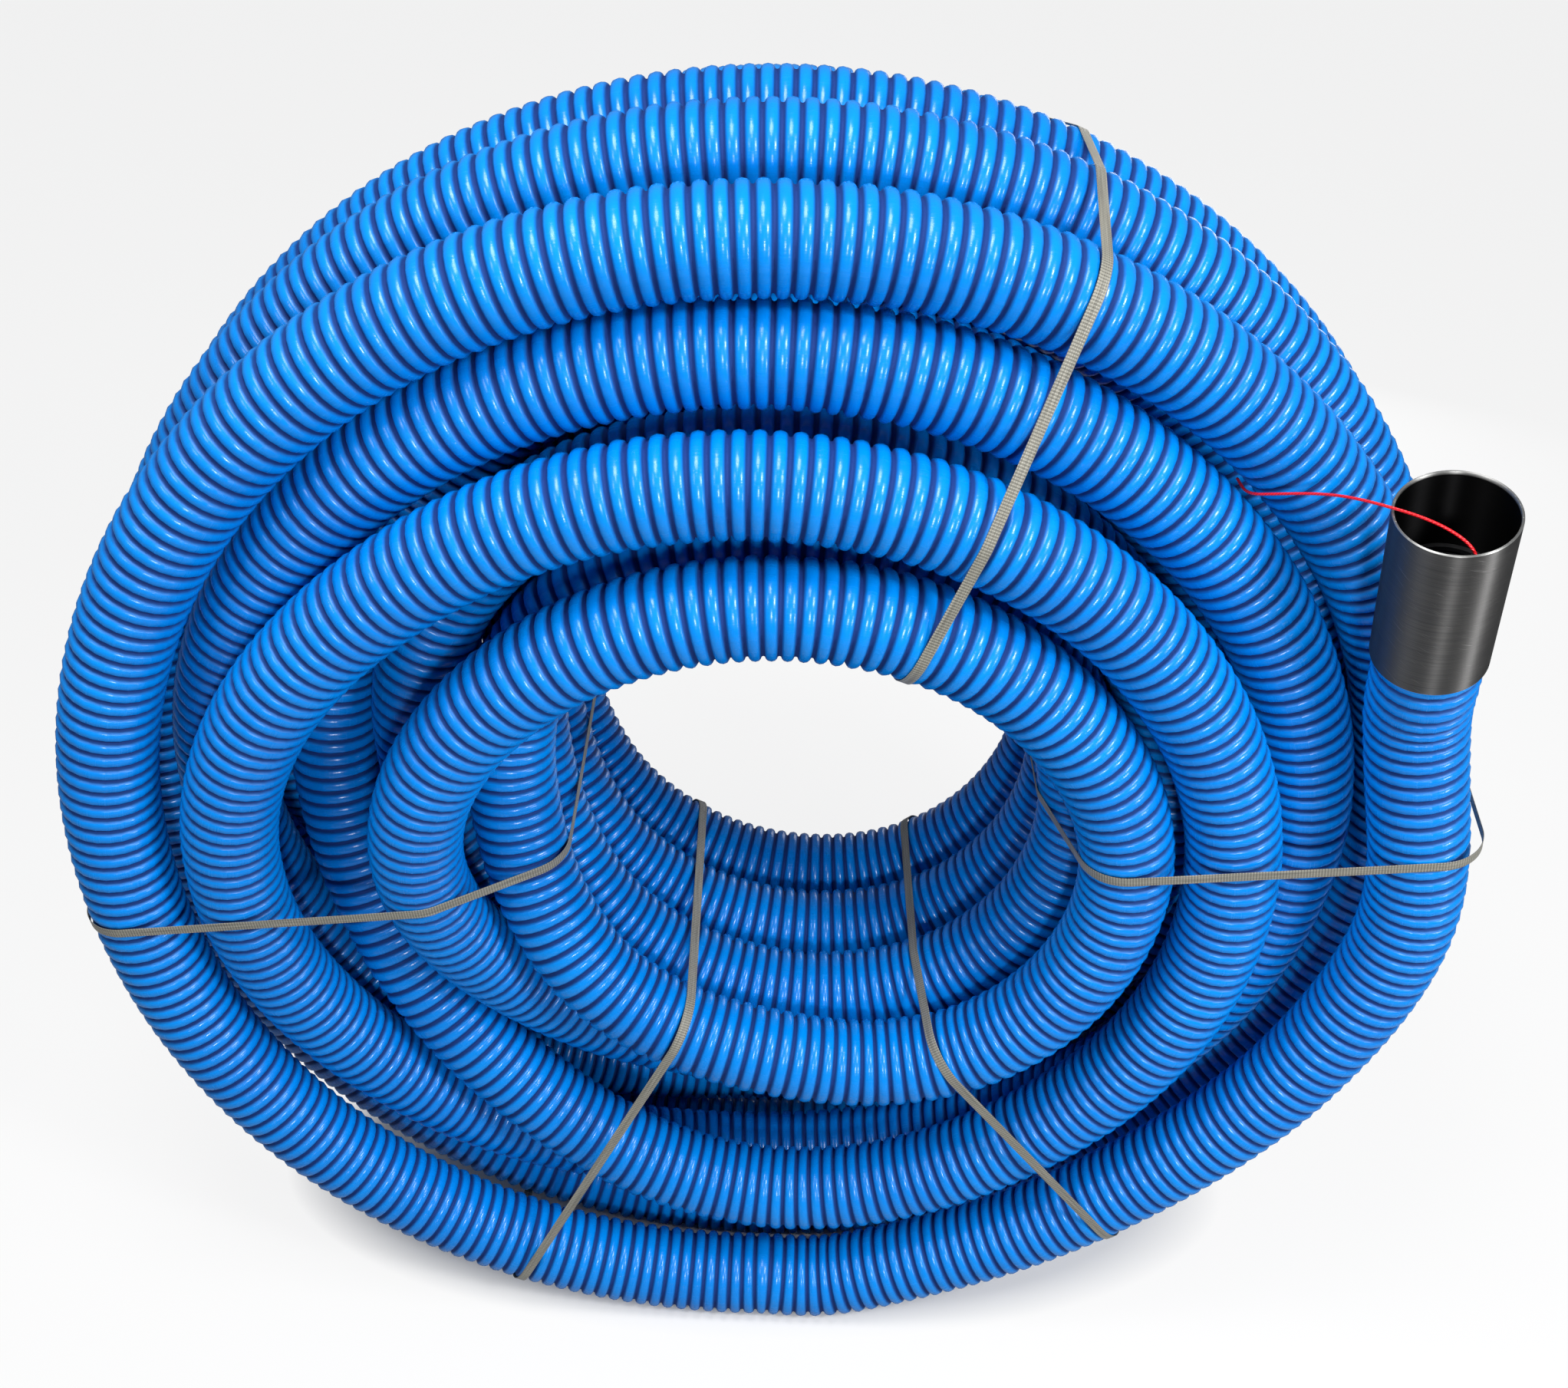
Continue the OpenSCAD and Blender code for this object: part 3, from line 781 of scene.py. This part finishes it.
def strap(name, angle):
    """Strap as one closed band, with its loose end over it, from inside the seal outwards."""
    axes = strap_axes(angle)
    taut_line = taut(angle, STRAP_GAP + STRAP_T / 2)
    line, run = even(taut_line, STRAP_STEP)
    side = unit(np.roll(line, -1, 0) - np.roll(line, 1, 0))
    normal = np.stack([side[:, 1], -side[:, 0]], 1)
    middle, along, out = back_stretch(taut_line)
    verts, al, ac = [], [], []

    def section(at, up, thin, d):
        for w, h in STRAP_SECTION:
            q = at + up * (h * thin * MM)
            verts.append(in_plane(axes, q[0], q[1], w * MM))
            al.append(d)
            ac.append(w * MM)

    for p, n, d in zip(line, normal, run):
        section(p, n, 1.0, d)
    n_sec = len(STRAP_SECTION)
    faces = grid_faces(len(line), n_sec, True, True)
    base = len(verts)
    for d in np.linspace(-SEAL_LEN / 4, LOOSE_LEN, LOOSE_STATIONS):
        lift = LOOSE_LIFT + max(0.0, d - SEAL_LEN / 2) * LOOSE_RISE
        section(middle + along * d + out * lift, out, LOOSE_THIN, d)
    faces += grid_faces(LOOSE_STATIONS, n_sec, False, True, base)
    faces += [first_cap(n_sec, base), last_cap(LOOSE_STATIONS, n_sec, base)]
    o = mesh_object("strap_%s_woven" % name, verts, faces, STRAP, {"along": al, "across": ac})
    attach(o, "coil")
    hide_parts("strap_" + name)


def seal(name, angle):
    """Folded steel seal, crimped twice on each edge."""
    axes = strap_axes(angle)
    middle, along, out = back_stretch(taut(angle, STRAP_GAP + STRAP_T / 2))
    w = turn_angles(SEAL_SIDES)
    x = np.sign(np.cos(w)) * np.abs(np.cos(w)) ** SEAL_ROUND
    y = np.sign(np.sin(w)) * np.abs(np.sin(w)) ** SEAL_ROUND
    lift = STRAP_T / 2
    half_w, half_t = STRAP_W / 2 + SEAL_PLAY, STRAP_T / 2 + SEAL_PLAY + lift
    verts = []

    def section(d, half_w, half_t):
        for u, v in zip(x * half_w, y * half_t):
            q = middle + along * d + out * (v + lift)
            verts.append(in_plane(axes, q[0], q[1], u))

    stations = np.linspace(-SEAL_LEN / 2, SEAL_LEN / 2, SEAL_STATIONS)
    for d in stations:
        cut = sum(np.clip(1 - abs(d - at) / CRIMP_REACH, 0, 1) for at in CRIMPS)
        section(d, half_w + SEAL_WALL - cut * CRIMP_SIDE, half_t + SEAL_WALL - cut * CRIMP_TOP)
    for d in stations[::-1]:
        section(d, half_w, half_t)
    faces = grid_faces(2 * SEAL_STATIONS, SEAL_SIDES, True, True)
    o = mesh_object("seal_%s_crimped" % name, verts, faces, STEEL)
    recalculated(o)
    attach(o, "coil")
    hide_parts("clip_" + name)


for name, angle in STRAP_ANGLES.items():
    strap(name, angle)
    seal(name, angle)


# ---- Coupling sleeve ------------------------------------------------------------------------
SLEEVE_IN, SLEEVE_OUT, SLEEVE_LEN = 0.0554, 0.058, 0.196
SLEEVE_SIDES = 160
# Radius of the rims' outer edges, and width of the chamfer on their inner ones.
RIM_R = 0.0008
CHAMFER, CHAMFER_LEN = 0.0004, 0.0005
# Points near the rims that keep the smooth walls straight.
RIM_BAND = 0.004
# The stop ring's seat, cut into the wall.
STOP_SEAT = 0.001
STOP_FROM, STOP_TO = 0.0953, 0.1007


def sleeve_profile():
    """Closed outline of the sleeve's wall, as radius and height: up outside, down inside."""
    arc = [math.radians(x) for x in (0, 22, 45, 68, 90)]
    edge = SLEEVE_OUT - RIM_R
    top = SLEEVE_LEN - RIM_R
    profile = [(SLEEVE_IN, CHAMFER_LEN), (SLEEVE_IN + CHAMFER, 0.0)]
    profile += [(edge + RIM_R * math.sin(x), RIM_R - RIM_R * math.cos(x)) for x in arc]
    profile += [(SLEEVE_OUT, z) for z in (RIM_BAND, 0.05, 0.1, 0.15, SLEEVE_LEN - RIM_BAND)]
    profile += [(edge + RIM_R * math.cos(x), top + RIM_R * math.sin(x)) for x in arc]
    profile += [(SLEEVE_IN + CHAMFER, SLEEVE_LEN), (SLEEVE_IN, SLEEVE_LEN - CHAMFER_LEN),
                (SLEEVE_IN, SLEEVE_LEN - RIM_BAND)]
    profile += [(SLEEVE_IN, STOP_TO), (SLEEVE_IN + STOP_SEAT, STOP_TO),
                (SLEEVE_IN + STOP_SEAT, STOP_FROM), (SLEEVE_IN, STOP_FROM)]
    return profile + [(SLEEVE_IN, RIM_BAND)]


def turned_sleeve(name):
    """The profile turned round the sleeve's axis."""
    profile = sleeve_profile()
    rims = [1.0 if z < RIM_R or z > SLEEVE_LEN - RIM_R * 0.99 else 0.0 for r, z in profile]
    verts, al, ar, rim, inner = [], [], [], [], []
    for a in turn_angles(SLEEVE_SIDES):
        for (r, z), on_rim in zip(profile, rims):
            verts.append(FOOT + r * math.cos(a) * END_X + r * math.sin(a) * END_Y + z * END_Z)
            al.append(z)
            ar.append(a * SLEEVE_OUT)
            rim.append(on_rim)
            # Mask of the inside, which gets painted shade.
            inner.append(float(r < SLEEVE_IN + 2 * STOP_SEAT and on_rim < 1))
    faces = grid_faces(SLEEVE_SIDES, len(profile), True, True)
    o = mesh_object(name, verts, faces, SLEEVE,
                    {"along": al, "around": ar, "rim": rim, "inner": inner})
    recalculated(o)
    o.data.set_sharp_from_angle(angle=SHARP)
    return o


sleeve = turned_sleeve("coupling_sleeve_turned")
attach(sleeve, "sleeve")
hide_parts("coupling_sleeve")


# ---- Bores at the hose's two ends -------------------------------------------------------------
BORE_R = HOSE_R - GROOVE - 0.002
# Chamfer of the cut edge, across and along, and where the even rings of the wall begin and end.
BORE_EDGE, BORE_EDGE_LEN = 0.0004, 0.0015
BORE_FROM, BORE_DEEP = 0.02, 0.4
BORE_STATIONS = 24
BORE_SIDES = 48


def bore(name, at_end, node):
    """Cut face and inner wall of the hose, from an end inwards."""
    d = np.concatenate([[0.0, 0.0, BORE_EDGE_LEN],
                        np.linspace(BORE_FROM, BORE_DEEP, BORE_STATIONS)])
    r = np.concatenate([[HOSE_R - GROOVE, BORE_R + BORE_EDGE, BORE_R],
                        np.full(BORE_STATIONS, BORE_R)])
    inward = RUN[-1] - d if at_end else d
    p = on_route(inward)
    t = unit(on_route(inward + NEAR) - on_route(inward - NEAR))
    if at_end:
        t[:3] = END_Z
    x = unit(np.cross(t, [0, 1.0, 0]))
    y = np.cross(t, x)
    faces = grid_faces(len(p), BORE_SIDES, False, True) + [last_cap(len(p), BORE_SIDES)]
    o = mesh_object(name, rings(p, x, y, r, BORE_SIDES), faces, BORE)
    o.data.set_sharp_from_angle(angle=SHARP)
    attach(o, "coil")
    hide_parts(node)


bore("hose_bore_end", True, "hose_end")
bore("hose_bore_tail", False, "hose_tail")

# ---- Pieces kept from the frame --------------------------------------------------------------
for node, mat in {"seal_ring": RUBBER, "stop_ring": STOP}.items():
    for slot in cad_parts[node].material_slots:
        slot.material = mat


# ---- Floor, light, backdrop ----------------------------------------------------------------
FLOOR_SIZE = 20
FLOOR_DROP = 0.0005
FLOOR_SHARE = 0.85
MIRROR_SHARE = 0.08
# Half the width and depth of the plain patch of floor under the object.
PLAIN_X, PLAIN_Y = 0.72, 0.29
WHITE = grey(1)


def seen_share(t):
    """How far a ray sees the white backdrop: camera rays fully, mirrored and refracted ones in
    part."""
    path = add(t, "ShaderNodeLightPath", (-300, 300)).outputs
    mirrored = math_node(t, "MAXIMUM", path["Is Glossy Ray"], path["Is Transmission Ray"])
    return math_node(t, "MAXIMUM", path["Is Camera Ray"], times(t, mirrored, MIRROR_SHARE))


def floor_material():
    """Pale floor that runs into the backdrop and keeps the object's shadow."""
    m, t, out = empty_material("floor_pale")
    seen = seen_share(t)
    col = mixed(t, seen, grey(0.3), grey(0.9), (0, 100))
    d = add(t, "ShaderNodeBsdfDiffuse", (300, 100), Color=col)
    e = add(t, "ShaderNodeEmission", (300, -100), Color=WHITE, Strength=1.0)
    # Where the object stands the floor is plain, so that it is as dark there as it would be.
    inside = add(t, "ShaderNodeVectorMath", (-700, -300), {"operation": "MULTIPLY"},
                 i0=object_place(t, (-900, -300)), i1=(1 / PLAIN_X, 1 / PLAIN_Y, 0)).outputs[0]
    inside = add(t, "ShaderNodeVectorMath", (-500, -300), {"operation": "LENGTH"},
                 i0=inside).outputs["Value"]
    share = times(t, ramp(t, inside, [(0.84, 0.0), (1.0, 1.0)], (-300, -300)), FLOOR_SHARE)
    mix = add(t, "ShaderNodeMixShader", (600, 0), i0=times(t, seen, share), i1=d.outputs[0],
              i2=e.outputs[0])
    t.links.new(mix.outputs[0], out.inputs[0])
    return m


bm = bmesh.new()
bmesh.ops.create_grid(bm, x_segments=1, y_segments=1, size=FLOOR_SIZE)
fm = bpy.data.meshes.new("floor")
bm.to_mesh(fm)
bm.free()
fm.materials.append(floor_material())
floor = linked("floor", fm)
floor.location = (0, 0, -FLOOR_DROP)

world = bpy.data.worlds.new("world")
scene.world = world
world.use_nodes = True
wt = world.node_tree
wt.nodes.clear()
w_out = add(wt, "ShaderNodeOutputWorld", (600, 0))
soft = add(wt, "ShaderNodeBackground", (200, 100), Color=(0.9, 0.95, 1.0, 1), Strength=0.16)
white = add(wt, "ShaderNodeBackground", (200, -100), Color=WHITE, Strength=1.0)
w_mix = add(wt, "ShaderNodeMixShader", (400, 0), i0=seen_share(wt), i1=soft.outputs[0],
            i2=white.outputs[0])
wt.links.new(w_mix.outputs[0], w_out.inputs[0])


def lamp(name, place, target, size, power):
    """A square white lamp that faces its target."""
    d = bpy.data.lights.new(name, "AREA")
    d.shape = "RECTANGLE"
    d.size = d.size_y = size
    d.energy = power
    aim = (Vector(target) - Vector(place)).to_track_quat("-Z", "Y")
    linked(name, d).matrix_world = Matrix.Translation(place) @ aim.to_matrix().to_4x4()


lamp("key", (1.9, -1.8, 3.2), (0.2, 0, 0.8), 0.6, 56)
lamp("front", (0.2, -2.8, 2.0), (0.3, 0, 0.9), 0.3, 30)
lamp("side", (2.3, -1.9, 1.3), (0.4, 0, 0.8), 0.4, 18)
lamp("fill", (-2.0, -1.9, 3.2), (0, 0, 0.8), 0.8, 16)
lamp("top", (-0.4, -0.6, 3.5), (0, 0, 0.8), 1.0, 46)
lamp("back", (1.4, 3.0, 1.0), (0, 0, 0.8), 1.4, 14)

scene.view_settings.view_transform = "Standard"
